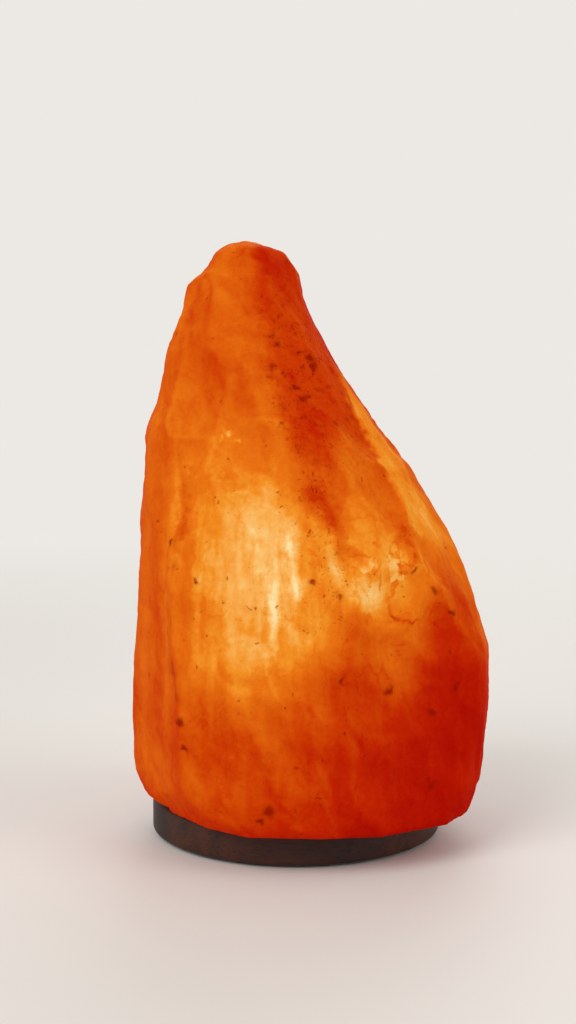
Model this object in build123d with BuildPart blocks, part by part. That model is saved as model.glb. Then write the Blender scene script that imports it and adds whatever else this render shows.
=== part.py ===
"""Salt crystal table lamp: a hewn lump of rock salt, sawn flat and bored from below, screwed to a
turned wooden base. A small lampholder with sprung prongs is pushed up into the bore and carries a
small clear bulb. Millimetres, +Z up. The origin is on the table, on the axis of the bore. The lamp
is seen from -Y, with +X to the right."""
from build123d import *
import math
import os

os.makedirs("parts", exist_ok=True)

# ---------------------------------------------------------------- driving dimensions
# Stand
felt_thickness = 1.0
felt_inset = 4.0              # from the board's rim to the felt's outer edge
felt_width = 16.0
board_diameter = 105.0
board_thickness = 12.0
board_top_edge = 2.5          # radius turned on the upper edge
board_bottom_edge = 1.5
bore_diameter = 48.0          # one bore, through the board and up into the salt
bore_end_radius = 8.0         # rounded end that the core drill leaves
channel_width = 9.0           # groove for the lead, across the underside to the rear
channel_depth = 7.5

# Screws that hold the board to the salt
screw_count = 3
screw_first_angle = 30.0
screw_offset = 38.5           # from the lamp's axis to each screw
screw_shank_diameter = 4.0
screw_head_diameter = 7.6
screw_recess = 0.4            # head below the underside of the board
screw_length = 28.0
screw_slot_width = 1.0
screw_slot_depth = 1.0
screw_hole_clearance = 0.25   # round the shank, in the board
anchor_diameter = 7.0
anchor_length = 20.0
anchor_slit = 1.0
anchor_clearance = 0.1

crystal_height = 200.7        # from the saw cut to the top of the knob
# Salt crystal: outline rows, each (height above the saw cut, left, right, front, back) of the axis.
# The rows and the hewn faces are scaled until the last row stands at crystal_height.
crystal_rows = [
    (0.0, 46.5, 62.5, 63.5, 48.0),
    (4.0, 55.0, 64.8, 66.0, 52.5),
    (11.0, 59.0, 67.8, 67.0, 55.5),
    (32.0, 59.7, 69.7, 66.5, 57.5),
    (54.0, 59.0, 70.5, 64.5, 57.5),
    (77.0, 57.6, 63.8, 60.5, 55.0),
    (90.5, 56.9, 58.6, 57.0, 52.5),
    (105.0, 56.4, 50.6, 52.5, 49.0),
    (119.0, 55.6, 42.2, 48.0, 45.5),
    (134.0, 54.8, 30.5, 42.5, 41.5),
    (144.0, 50.6, 23.4, 38.5, 38.5),
    (160.0, 47.5, 13.1, 32.5, 33.0),
    (176.0, 41.8, 4.4, 26.0, 27.0),
    (184.5, 39.8, 2.0, 22.0, 23.0),
    (190.0, 33.4, 1.0, 18.0, 17.5),
    (196.5, 29.8, -3.6, 14.5, 13.5),
    (200.7, 23.0, -15.5, 6.0, 5.0),
]
crystal_corners = 16          # corners of each outline row
crystal_fullness = 2.25       # 2 is an ellipse, more is squarer
swell_depth = 1.5             # how far the rough surface swells and dips in front and behind
swell_length = 56.0           # from swell to swell up the lump
swell_step = 2.4              # turn of the swell from one corner to the next, in radians
# Hewn faces: (azimuth, elevation, distance from the saw cut's centre), degrees and mm
hewn_faces = [
    (205.0, 0.0, 57.2),
    (215.0, -35.0, 43.6),
    (268.0, 13.0, 74.5),
    (-25.0, 25.0, 89.6),
    (302.0, 4.0, 66.0),
    (60.0, 12.0, 63.5),
    (122.0, 9.0, 62.0),
    (145.0, 15.0, 81.5),
]
# Shell-shaped flakes struck off the surface: (azimuth, height, radius of the rim, depth)
flakes = [
    (299.0, 77.0, 10.0, 2.3),
    (287.0, 88.0, 7.5, 1.7),
    (316.0, 66.0, 10.0, 1.8),
    (309.0, 112.0, 11.0, 1.5),
    (236.0, 68.0, 12.0, 1.5),
    (228.0, 104.0, 10.0, 1.3),
    (222.0, 148.0, 11.0, 1.4),
    (182.0, 147.0, 6.0, 1.6),
    (200.0, 182.0, 5.5, 1.6),
    (20.0, 70.0, 13.0, 2.2),
    (48.0, 108.0, 11.0, 1.8),
    (75.0, 58.0, 14.0, 2.2),
    (95.0, 100.0, 12.0, 1.9),
    (118.0, 148.0, 10.0, 1.6),
    (150.0, 62.0, 13.0, 2.0),
    (160.0, 112.0, 10.0, 1.6),
]

# Lampholder
cord_bend_room = 16.0         # from the table to the underside of the gland
cord_diameter = 6.0
cord_clearance = 0.3          # round the lead, in the seal
gland_nut_height = 6.0
gland_nut_diameter = 15.0
gland_lip = 1.5
gland_thread_diameter = 11.0
gland_flange_height = 2.0
gland_flange_diameter = 14.0
gland_neck_diameter = 9.8     # thread that enters the holder's cap
gland_neck_height = 6.0
gland_play = 0.5              # round the lead in nut and body, wider than in the seal
seal_wall = 1.1
thread_gap = 0.1              # between the drawn surfaces of a made-up thread or a light fit
cap_floor = 2.5
cap_floor_diameter = 18.0
cap_height = 12.0
holder_diameter = 27.0
holder_wall = 1.8
wiring_room = 13.0            # from the cap's floor to the porcelain
core_height = 10.0
mouth_diameter = 18.4
mouth_depth = 23.2            # from the tip of the bulb to the rim of the holder
barrel_diameter = 25.0        # threaded upper part of the sleeve
flange_diameter = 31.0
flange_height = 2.0
flange_rise = 0.6             # from the top of the porcelain to the underside of the flange
ring_nut_wall = 3.4
ring_nut_height = 5.0
ring_nut_ribs = 24
rib_radius = 0.8

# Contacts and terminals
shell_wall = 0.5
shell_height = 20.5
shell_foot_width = 2.0
block_length = 5.0
block_width = 4.4
block_height = 5.0
block_spacing = 13.0
block_pocket_gap = 0.3
strip_thickness = 0.5
strip_width = 4.0
tongue_rise = 3.0             # from the porcelain to the top of the sprung tongue
wire_hole_diameter = 3.2
terminal_screw_diameter = 2.3
terminal_head_diameter = 4.2
terminal_head_height = 1.6
terminal_head_gap = 0.4
terminal_screw_reach = 2.0    # of the shank in the block

# Retaining clip
clip_thickness = 0.8
clip_plate_width = 3.2
prong_count = 3
prong_width = 7.0
prong_rise = 17.0             # from the plate to the point that bears on the bore
prong_curl = 7.0              # from there to the curled end
bore_wall_gap = 0.3           # prong to wall of the bore

# Bulb, with a small screw cap
bulb_length = 57.0
bulb_diameter = 26.0
glass_wall = 0.8
glass_neck_diameter = 14.6
cement_gap = 0.1              # between the neck and the cone of the cap
glass_shoulder_angle = 24.0
thread_diameter = 13.89
thread_pitch = 2.82
thread_ridge_radius = 0.8
thread_turns = 4
thread_gap_bulb = 0.3
cap_shell_length = 21.0
cap_shell_wall = 0.4
cap_flare_diameter = 17.0
cap_flare_height = 5.5
tip_diameter = 4.8
tip_height = 1.2
tip_gap = 0.3
glass_disc_height = 3.0
glass_disc_diameter = 9.6
unscrew_turns = 2.5
bore_headroom = 5.0           # over the unscrewed bulb
stem_diameter = 5.0
stem_flare_thickness = 1.0
stem_height = 14.0
button_radius = 1.7
button_rod_diameter = 1.6
button_rod_height = 5.0
filament_radius = 7.0
filament_wire_diameter = 0.5
filament_arc = 250.0
filament_rise = 8.0           # over the top of the stem
lead_diameter = 0.6
support_diameter = 0.4
support_count = 3

# ---------------------------------------------------------------- derived sizes
board_radius = board_diameter / 2
bore_radius = bore_diameter / 2
board_bottom = felt_thickness
saw_cut = felt_thickness + board_thickness
lump_scale = crystal_height / crystal_rows[-1][0]

gland_bottom = cord_bend_room
gland_nut_top = gland_bottom + gland_nut_height
gland_top = gland_nut_top + gland_flange_height
cap_inside = gland_top + cap_floor
cap_top = gland_top + cap_height
core_bottom = cap_inside + wiring_room
core_top = core_bottom + core_height
tongue_top = core_top + tongue_rise
tip_bottom = tongue_top + tip_gap
tip_top = tip_bottom + tip_height
rim_top = tip_bottom + mouth_depth
flange_bottom = core_top + flange_rise
clip_seat = flange_bottom + flange_height
clip_top = clip_seat + clip_thickness
disc_top = tip_top + glass_disc_height
cap_shell_top = disc_top + cap_shell_length
bulb_crown = tip_bottom + bulb_length
bulb_radius = bulb_diameter / 2
globe_centre = bulb_crown - bulb_radius
bore_end = bulb_crown + unscrew_turns * thread_pitch + bore_headroom

holder_radius = holder_diameter / 2
socket_radius = holder_radius - holder_wall
core_radius = socket_radius - thread_gap
seal_bore_radius = cord_diameter / 2 + cord_clearance
seal_radius = seal_bore_radius + seal_wall
gland_bore_radius = seal_bore_radius + gland_play
gland_socket_radius = seal_radius + thread_gap
neck_hole_radius = gland_neck_diameter / 2 + thread_gap
thread_radius = thread_diameter / 2
shell_bore_radius = thread_radius + thread_gap_bulb
shell_radius = shell_bore_radius + shell_wall
shell_foot_radius = shell_radius - shell_foot_width
cap_root_radius = thread_radius - thread_ridge_radius
block_top = core_bottom + block_height
block_offset = block_spacing / 2
screw_head_bottom = board_bottom + screw_recess
screw_head_height = (screw_head_diameter - screw_shank_diameter) / 2
neck_radius = glass_neck_diameter / 2
cap_bore_radius = cap_root_radius - cap_shell_wall
flare_radius = cap_flare_diameter / 2
flare_bottom = cap_shell_top - cap_flare_height
flare_inner = flare_radius - cap_shell_wall
cone_share = (neck_radius - cap_bore_radius) / (flare_inner - cap_bore_radius)
neck_bottom = flare_bottom + cone_share * cap_flare_height / 2 + cement_gap
stem_top = neck_bottom + stem_height
filament_height = stem_top + filament_rise
clip_bore_radius = barrel_diameter / 2 + thread_gap
ring_nut_radius = clip_bore_radius + ring_nut_wall
prong_bearing = math.sqrt((bore_radius - bore_wall_gap) ** 2 - (prong_width / 2) ** 2)


# ---------------------------------------------------------------- felt ring
# A ring of felt under the board, open where the lead leaves.
with BuildPart() as felt_ring:
    with BuildSketch(Plane.XY):
        Circle(board_radius - felt_inset)
        Circle(board_radius - felt_inset - felt_width, mode=Mode.SUBTRACT)
        with Locations((0, board_radius / 2)):
            Rectangle(channel_width, board_radius, mode=Mode.SUBTRACT)
    extrude(amount=felt_thickness)
felt_ring.part.label = "felt_ring"
export_step(felt_ring.part, "parts/felt_ring.step")


# ---------------------------------------------------------------- wooden base
# A turned disc with the bore, the groove for the lead and three countersunk screw holes.
with BuildPart() as wooden_base:
    with BuildSketch(Plane.XY.offset(board_bottom)):
        Circle(board_radius)
    extrude(amount=board_thickness)
    rims = wooden_base.edges().filter_by(GeomType.CIRCLE).sort_by(Axis.Z)
    fillet(rims[-1], board_top_edge)
    rims = wooden_base.edges().filter_by(GeomType.CIRCLE).sort_by(Axis.Z)
    fillet(rims[0], board_bottom_edge)
    with BuildSketch(Plane.XY.offset(board_bottom)):
        Circle(bore_radius)
    extrude(amount=board_thickness, mode=Mode.SUBTRACT)
    with BuildSketch(Plane.XY.offset(board_bottom)):
        with Locations((0, board_radius)):
            Rectangle(channel_width, 2 * (board_radius - bore_radius) + bore_radius)
    extrude(amount=channel_depth, mode=Mode.SUBTRACT)
    with Locations(Plane((0, 0, board_bottom), x_dir=(1, 0, 0), z_dir=(0, 0, -1))):
        with PolarLocations(screw_offset, screw_count, start_angle=-screw_first_angle):
            CounterSinkHole(
                radius=screw_shank_diameter / 2 + screw_hole_clearance,
                counter_sink_radius=screw_head_diameter / 2 + screw_recess + screw_hole_clearance,
                depth=board_thickness,
                counter_sink_angle=90,
            )
wooden_base.part.label = "wooden_base"
export_step(wooden_base.part, "parts/wooden_base.step")


# ---------------------------------------------------------------- base screws and their anchors
# Countersunk slotted screws, driven up through the board into plugs in the salt.
with BuildPart() as base_screws:
    with PolarLocations(screw_offset, screw_count, start_angle=screw_first_angle):
        with Locations((0, 0, screw_head_bottom)):
            Cone(
                screw_head_diameter / 2,
                screw_shank_diameter / 2,
                screw_head_height,
                align=(Align.CENTER, Align.CENTER, Align.MIN),
            )
            Cylinder(
                screw_shank_diameter / 2,
                screw_length,
                align=(Align.CENTER, Align.CENTER, Align.MIN),
            )
            Box(
                screw_head_diameter,
                screw_slot_width,
                screw_slot_depth,
                align=(Align.CENTER, Align.CENTER, Align.MIN),
                mode=Mode.SUBTRACT,
            )
    tips = base_screws.faces().filter_by(Axis.Z).group_by(Axis.Z)[-1]
    chamfer(tips.edges(), screw_shank_diameter / 4)
base_screws.part.label = "base_screws"
export_step(base_screws.part, "parts/base_screws.step")

with BuildPart() as screw_anchors:
    with PolarLocations(screw_offset, screw_count, start_angle=screw_first_angle):
        with Locations((0, 0, saw_cut)):
            Cylinder(
                anchor_diameter / 2,
                anchor_length,
                align=(Align.CENTER, Align.CENTER, Align.MIN),
            )
            Cylinder(
                screw_shank_diameter / 2 + anchor_clearance,
                anchor_length,
                align=(Align.CENTER, Align.CENTER, Align.MIN),
                mode=Mode.SUBTRACT,
            )
        with Locations((0, 0, saw_cut + anchor_length / 4)):
            Box(
                anchor_diameter,
                anchor_slit,
                anchor_length,
                align=(Align.MIN, Align.CENTER, Align.MIN),
                mode=Mode.SUBTRACT,
            )
screw_anchors.part.label = "screw_anchors"
export_step(screw_anchors.part, "parts/screw_anchors.step")


# ---------------------------------------------------------------- salt crystal
def outline_points(height, left, right, front, back):
    """Corners of one uneven, squarish oval row of the lump, counter-clockwise from +X."""
    centre_x = lump_scale * (right - left) / 2
    centre_y = lump_scale * (back - front) / 2
    half_x = lump_scale * (right + left) / 2
    half_y = lump_scale * (back + front) / 2
    points = []
    for corner in range(crystal_corners):
        angle = 2 * math.pi * corner / crystal_corners
        cosine = math.cos(angle)
        sine = math.sin(angle)
        x = centre_x + half_x * math.copysign(abs(cosine) ** (2 / crystal_fullness), cosine)
        y = centre_y + half_y * math.copysign(abs(sine) ** (2 / crystal_fullness), sine)
        phase = swell_step * corner + 2 * math.pi * height / swell_length
        swell = lump_scale * swell_depth * sine**2 * math.sin(phase)
        points.append((x + swell * cosine, y + swell * sine))
    return points


with BuildPart() as salt_crystal:
    for height, left, right, front, back in crystal_rows:
        with BuildSketch(Plane.XY.offset(saw_cut + lump_scale * height)):
            with BuildLine():
                Polyline(*outline_points(height, left, right, front, back), close=True)
            make_face()
    loft(ruled=True)
    for azimuth, elevation, distance in hewn_faces:
        outward = Vector(1, 0, 0).rotate(Axis.Y, -elevation).rotate(Axis.Z, azimuth)
        split(
            bisect_by=Plane(Vector(0, 0, saw_cut) + outward * lump_scale * distance, z_dir=outward),
            keep=Keep.BOTTOM,
        )
    for azimuth, height, rim, depth in flakes:
        outward = Vector(1, 0, 0).rotate(Axis.Z, azimuth)
        level = Vector(0, 0, saw_cut + lump_scale * height)
        sight = Axis(level + outward * crystal_height, -outward)
        hits = salt_crystal.part.find_intersection_points(sight)
        spot, slope = max(hits, key=lambda hit: hit[0].dot(outward))
        if slope.dot(outward) < 0:
            slope = -slope
        ball_radius = lump_scale * (rim**2 + depth**2) / (2 * depth)
        with Locations(spot + slope * (ball_radius - lump_scale * depth)):
            Sphere(ball_radius, mode=Mode.SUBTRACT)
    with BuildSketch(Plane.XZ):
        with BuildLine():
            Line((0, saw_cut), (bore_radius, saw_cut))
            Line((bore_radius, saw_cut), (bore_radius, bore_end - bore_end_radius))
            RadiusArc(
                (bore_radius, bore_end - bore_end_radius),
                (bore_radius - bore_end_radius, bore_end),
                -bore_end_radius,
            )
            Line((bore_radius - bore_end_radius, bore_end), (0, bore_end))
            Line((0, bore_end), (0, saw_cut))
        make_face()
    revolve(axis=Axis.Z, mode=Mode.SUBTRACT)
    with PolarLocations(screw_offset, screw_count, start_angle=screw_first_angle):
        with Locations((0, 0, saw_cut)):
            Cylinder(
                anchor_diameter / 2 + anchor_clearance,
                max(anchor_length, screw_head_bottom + screw_length - saw_cut) + anchor_clearance,
                align=(Align.CENTER, Align.CENTER, Align.MIN),
                mode=Mode.SUBTRACT,
            )
salt_crystal.part.label = "salt_crystal"
export_step(salt_crystal.part, "parts/salt_crystal.step")


# ---------------------------------------------------------------- cord gland
# A plastic gland in the holder's cap: body, rubber seal and nut. The lead would enter from below.
def ring_profile(inner, outer, bottom, top):
    """Half section of a plain ring, drawn in the X-Z plane inside a sketch."""
    with Locations(((inner + outer) / 2, (bottom + top) / 2)):
        Rectangle(outer - inner, top - bottom)


with BuildPart() as gland_nut:
    with BuildSketch(Plane.XY.offset(gland_bottom)):
        RegularPolygon(gland_nut_diameter / 2, 6)
    extrude(amount=gland_nut_height)
    with BuildSketch(Plane.XZ):
        ring_profile(0, gland_bore_radius, gland_bottom, gland_nut_top)
        ring_profile(
            0, gland_thread_diameter / 2 + thread_gap, gland_bottom + gland_lip, gland_nut_top
        )
    revolve(axis=Axis.Z, mode=Mode.SUBTRACT)
gland_nut.part.label = "gland_nut"
export_step(gland_nut.part, "parts/gland_nut.step")

with BuildPart() as gland_seal:
    with BuildSketch(Plane.XZ):
        ring_profile(seal_bore_radius, seal_radius, gland_bottom + gland_lip, gland_top)
    revolve(axis=Axis.Z)
gland_seal.part.label = "gland_seal"
export_step(gland_seal.part, "parts/gland_seal.step")

with BuildPart() as gland_body:
    with BuildSketch(Plane.XZ):
        ring_profile(
            gland_socket_radius,
            gland_thread_diameter / 2,
            gland_bottom + gland_lip + thread_gap,
            gland_nut_top,
        )
        ring_profile(gland_socket_radius, gland_flange_diameter / 2, gland_nut_top, gland_top)
        ring_profile(
            gland_bore_radius,
            gland_neck_diameter / 2,
            gland_top,
            gland_top + gland_neck_height,
        )
    revolve(axis=Axis.Z)
gland_body.part.label = "gland_body"
export_step(gland_body.part, "parts/gland_body.step")


# ---------------------------------------------------------------- holder cap
# The moulded lower half of the holder: a cup with a spigot that screws into the sleeve.
with BuildPart() as holder_cap:
    with BuildSketch(Plane.XZ):
        with BuildLine():
            Line((0, gland_top), (cap_floor_diameter / 2, gland_top))
            EllipticalCenterArc(
                (cap_floor_diameter / 2, cap_top),
                holder_radius - cap_floor_diameter / 2,
                cap_height,
                start_angle=270,
                arc_size=90,
            )
            Line((holder_radius, cap_top), (core_radius, cap_top))
            Line((core_radius, cap_top), (core_radius, core_bottom))
            Line((core_radius, core_bottom), (0, core_bottom))
            Line((0, core_bottom), (0, gland_top))
        make_face()
        with BuildLine():
            Line((0, cap_inside), (cap_floor_diameter / 2 - holder_wall, cap_inside))
            Line(
                (cap_floor_diameter / 2 - holder_wall, cap_inside),
                (core_radius - holder_wall, cap_top),
            )
            Line((core_radius - holder_wall, cap_top), (core_radius - holder_wall, core_bottom))
            Line((core_radius - holder_wall, core_bottom), (0, core_bottom))
            Line((0, core_bottom), (0, cap_inside))
        make_face(mode=Mode.SUBTRACT)
        with Locations((neck_hole_radius / 2, gland_top + cap_floor / 2)):
            Rectangle(neck_hole_radius, cap_floor, mode=Mode.SUBTRACT)
    revolve(axis=Axis.Z)
holder_cap.part.label = "holder_cap"
export_step(holder_cap.part, "parts/holder_cap.step")


# ---------------------------------------------------------------- holder sleeve
# The moulded upper half: socket for the porcelain, flange for the clip, threaded barrel, mouth.
with BuildPart() as holder_sleeve:
    with BuildSketch(Plane.XZ):
        ring_profile(socket_radius, holder_radius, cap_top, core_top)
        ring_profile(mouth_diameter / 2, holder_radius, core_top, flange_bottom)
        ring_profile(mouth_diameter / 2, flange_diameter / 2, flange_bottom, clip_seat)
        ring_profile(mouth_diameter / 2, barrel_diameter / 2, clip_seat, rim_top)
    revolve(axis=Axis.Z)
    rim_edges = holder_sleeve.edges().group_by(Axis.Z)[-1]
    fillet(rim_edges, holder_wall / 3)
holder_sleeve.part.label = "holder_sleeve"
export_step(holder_sleeve.part, "parts/holder_sleeve.step")


# ---------------------------------------------------------------- porcelain core
# The insulator that carries both contacts, with a pocket for each terminal block underneath.
shell_leg = (shell_foot_radius + shell_radius) / 2
tongue_leg = shell_foot_radius - strip_thickness - block_pocket_gap
with BuildPart() as porcelain_core:
    with BuildSketch(Plane.XY.offset(core_bottom)):
        Circle(core_radius)
    extrude(amount=core_height)
    with BuildSketch(Plane.XY.offset(core_bottom)):
        with Locations((-block_offset, 0), (block_offset, 0)):
            Rectangle(block_length + 2 * block_pocket_gap, block_width + 2 * block_pocket_gap)
    extrude(amount=block_height + strip_thickness + block_pocket_gap, mode=Mode.SUBTRACT)
    with BuildSketch(Plane.XY.offset(core_bottom)):
        with Locations((-tongue_leg, 0), (shell_leg, 0)):
            Rectangle(strip_thickness + 2 * block_pocket_gap, strip_width + 2 * block_pocket_gap)
    extrude(amount=core_height, mode=Mode.SUBTRACT)
porcelain_core.part.label = "porcelain_core"
export_step(porcelain_core.part, "parts/porcelain_core.step")


# ---------------------------------------------------------------- contacts
# Screw shell, the strip that feeds it, and the sprung tongue under the tip of the bulb.
with BuildPart() as screw_shell:
    with BuildSketch(Plane.XZ):
        ring_profile(shell_foot_radius, shell_radius, core_top, core_top + shell_wall)
        ring_profile(shell_bore_radius, shell_radius, core_top, core_top + shell_height)
    revolve(axis=Axis.Z)
screw_shell.part.label = "screw_shell"
export_step(screw_shell.part, "parts/screw_shell.step")

strip_centre = block_top + strip_thickness / 2
with BuildPart() as shell_contact:
    with BuildSketch(Plane.XZ):
        with BuildLine():
            Polyline(
                (block_offset + block_length / 2, strip_centre),
                (shell_leg, strip_centre),
                (shell_leg, core_top),
            )
        trace(line_width=strip_thickness)
    extrude(amount=strip_width / 2, both=True)
shell_contact.part.label = "shell_contact"
export_step(shell_contact.part, "parts/shell_contact.step")

tongue_half = shell_foot_radius - 2 * block_pocket_gap - strip_thickness
with BuildPart() as centre_contact:
    with BuildSketch(Plane.XZ):
        with BuildLine():
            Polyline(
                (-block_offset - block_length / 2, strip_centre),
                (-tongue_leg, strip_centre),
                (-tongue_leg, core_top + strip_thickness),
                (0, tongue_top - strip_thickness / 2),
                (tongue_half, core_top + strip_thickness),
            )
        trace(line_width=strip_thickness)
    extrude(amount=strip_width / 2, both=True)
    with BuildSketch(Plane.XY.offset(tongue_top)):
        Rectangle(2 * holder_radius, strip_width)
    extrude(amount=strip_thickness, mode=Mode.SUBTRACT)
centre_contact.part.label = "centre_contact"
export_step(centre_contact.part, "parts/centre_contact.step")


# ---------------------------------------------------------------- terminals
# Two brass blocks with a wire hole each, and their clamping screws from below.
with BuildPart() as terminal_blocks:
    with Locations((-block_offset, 0, core_bottom), (block_offset, 0, core_bottom)):
        Box(
            block_length,
            block_width,
            block_height,
            align=(Align.CENTER, Align.CENTER, Align.MIN),
        )
        Cylinder(
            terminal_screw_diameter / 2 + thread_gap,
            block_height / 2,
            align=(Align.CENTER, Align.CENTER, Align.MIN),
            mode=Mode.SUBTRACT,
        )
    with BuildSketch(Plane.XZ):
        wire_height = core_bottom + block_height / 2
        with Locations((-block_offset, wire_height), (block_offset, wire_height)):
            Circle(wire_hole_diameter / 2)
    extrude(amount=block_width, both=True, mode=Mode.SUBTRACT)
terminal_blocks.part.label = "terminal_blocks"
export_step(terminal_blocks.part, "parts/terminal_blocks.step")

terminal_head_top = core_bottom - terminal_head_gap
with BuildPart() as terminal_screws:
    with Locations((-block_offset, 0, terminal_head_top), (block_offset, 0, terminal_head_top)):
        Cylinder(
            terminal_head_diameter / 2,
            terminal_head_height,
            align=(Align.CENTER, Align.CENTER, Align.MAX),
        )
        Cylinder(
            terminal_screw_diameter / 2,
            terminal_head_gap + terminal_screw_reach,
            align=(Align.CENTER, Align.CENTER, Align.MIN),
        )
    with Locations(
        (-block_offset, 0, terminal_head_top - terminal_head_height),
        (block_offset, 0, terminal_head_top - terminal_head_height),
    ):
        Box(
            terminal_head_diameter,
            terminal_head_diameter / 6,
            terminal_head_height / 2,
            align=(Align.CENTER, Align.CENTER, Align.MIN),
            mode=Mode.SUBTRACT,
        )
terminal_screws.part.label = "terminal_screws"
export_step(terminal_screws.part, "parts/terminal_screws.step")


# ---------------------------------------------------------------- retaining clip and its ring nut
# A spring steel plate on the holder's flange. Its prongs bear on the wall of the bore.
plate_radius = clip_bore_radius + clip_plate_width
plate_middle = clip_seat + clip_thickness / 2
prong_root = ring_nut_radius + 2 * clip_thickness
bearing_height = clip_seat + prong_rise
with BuildPart() as retaining_clip:
    with BuildSketch(Plane.XY.offset(clip_seat)):
        Circle(plate_radius)
        Circle(clip_bore_radius, mode=Mode.SUBTRACT)
    extrude(amount=clip_thickness)
    for prong in range(prong_count):
        prong_angle = 90 + prong * 360 / prong_count
        with BuildSketch(Plane.XZ.rotated((0, 0, prong_angle))):
            with BuildLine():
                FilletPolyline(
                    (plate_radius - clip_plate_width / 2, plate_middle),
                    (prong_root, plate_middle),
                    (prong_bearing - clip_thickness / 2, bearing_height),
                    (prong_root, bearing_height + prong_curl),
                    radius=2 * clip_thickness,
                )
            trace(line_width=clip_thickness)
        extrude(amount=prong_width / 2, both=True)
retaining_clip.part.label = "retaining_clip"
export_step(retaining_clip.part, "parts/retaining_clip.step")

with BuildPart() as ring_nut:
    with BuildSketch(Plane.XY.offset(clip_top)):
        Circle(ring_nut_radius)
        with PolarLocations(ring_nut_radius, ring_nut_ribs):
            Circle(rib_radius, mode=Mode.SUBTRACT)
        Circle(clip_bore_radius, mode=Mode.SUBTRACT)
    extrude(amount=ring_nut_height)
ring_nut.part.label = "ring_nut"
export_step(ring_nut.part, "parts/ring_nut.step")


# ---------------------------------------------------------------- bulb cap
# The soldered tip, the black glass disc that insulates it and the metal screw shell.
with BuildPart() as bulb_contact:
    with BuildSketch(Plane.XY.offset(tip_bottom)):
        Circle(tip_diameter / 2)
    extrude(amount=tip_height)
    fillet(bulb_contact.edges().group_by(Axis.Z)[0], tip_height / 2)
bulb_contact.part.label = "bulb_contact"
export_step(bulb_contact.part, "parts/bulb_contact.step")

with BuildPart() as bulb_insulator:
    with BuildSketch(Plane.XY.offset(tip_top)):
        Circle(glass_disc_diameter / 2)
    with BuildSketch(Plane.XY.offset(disc_top)):
        Circle(cap_root_radius)
    loft()
bulb_insulator.part.label = "bulb_insulator"
export_step(bulb_insulator.part, "parts/bulb_insulator.step")

with BuildPart() as bulb_cap:
    with BuildSketch(Plane.XZ):
        ring_profile(cap_bore_radius, cap_root_radius, disc_top, flare_bottom)
        with BuildLine():
            Polyline(
                (cap_bore_radius, flare_bottom),
                (cap_root_radius, flare_bottom),
                (flare_radius, flare_bottom + cap_flare_height / 3),
                (flare_radius, cap_shell_top),
                (flare_inner, cap_shell_top),
                (flare_inner, flare_bottom + cap_flare_height / 2),
                close=True,
            )
        make_face()
    revolve(axis=Axis.Z)
    first_turn = disc_top + thread_pitch / 2
    turn_heights = [first_turn + turn * thread_pitch for turn in range(thread_turns)]
    with BuildSketch(Plane.XZ):
        with Locations(*[(cap_root_radius, height) for height in turn_heights]):
            Circle(thread_ridge_radius)
        ring_profile(0, cap_root_radius - cap_shell_wall / 2, disc_top, flare_bottom)
        with Locations((cap_bore_radius / 2, (disc_top + flare_bottom) / 2)):
            Rectangle(cap_bore_radius + cap_shell_wall, flare_bottom - disc_top, mode=Mode.SUBTRACT)
    revolve(axis=Axis.Z)
bulb_cap.part.label = "bulb_cap"
export_step(bulb_cap.part, "parts/bulb_cap.step")


# ---------------------------------------------------------------- bulb glass
shoulder_angle = math.radians(glass_shoulder_angle)
with BuildPart() as bulb_glass:
    for inset, glass_mode in ((0, Mode.ADD), (glass_wall, Mode.SUBTRACT)):
        globe = bulb_radius - inset
        narrow = neck_radius - inset
        wide = globe * math.cos(shoulder_angle)
        drop = globe * math.sin(shoulder_angle)
        shoulder_low = globe_centre - drop - (wide - narrow) / math.tan(shoulder_angle)
        with BuildSketch(Plane.XZ):
            with BuildLine():
                ThreePointArc((0, globe_centre + globe), (globe, globe_centre), (wide, globe_centre - drop))
                Polyline(
                    (wide, globe_centre - drop),
                    (narrow, shoulder_low),
                    (narrow, neck_bottom),
                    (0, neck_bottom),
                    (0, globe_centre + globe),
                )
            make_face()
        revolve(axis=Axis.Z, mode=glass_mode)
bulb_glass.part.label = "bulb_glass"
export_step(bulb_glass.part, "parts/bulb_glass.step")


# ---------------------------------------------------------------- stem, leads, filament, supports
# The glass stem closes the neck and ends in a rod with a button that holds the support wires.
button_height = stem_top + button_rod_height
with BuildPart() as bulb_stem:
    with BuildSketch(Plane.XZ):
        ring_profile(0, neck_radius - glass_wall, neck_bottom, neck_bottom + stem_flare_thickness)
        ring_profile(0, stem_diameter / 2, neck_bottom, stem_top)
        ring_profile(0, button_rod_diameter / 2, stem_top, button_height)
    revolve(axis=Axis.Z)
    with Locations((0, 0, button_height)):
        Sphere(button_radius)
bulb_stem.part.label = "bulb_stem"
export_step(bulb_stem.part, "parts/bulb_stem.step")

filament_gap = math.radians((360 - filament_arc) / 2)
lead_end_x = filament_radius * math.sin(filament_gap)
lead_end_y = -filament_radius * math.cos(filament_gap)
lead_foot = stem_diameter / 2 - lead_diameter
with BuildPart() as bulb_leads:
    for side in (-1, 1):
        with BuildLine() as lead_path:
            Polyline(
                (side * lead_foot, 0, stem_top),
                (side * lead_end_x, lead_end_y, filament_height),
            )
        with BuildSketch(Plane(lead_path.line @ 0, z_dir=lead_path.line % 0)):
            Circle(lead_diameter / 2)
        sweep(path=lead_path.line)
    with BuildSketch(Plane.XY.offset(stem_top)):
        Circle(stem_diameter)
    extrude(amount=-stem_diameter, mode=Mode.SUBTRACT)
bulb_leads.part.label = "bulb_leads"
export_step(bulb_leads.part, "parts/bulb_leads.step")

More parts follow.
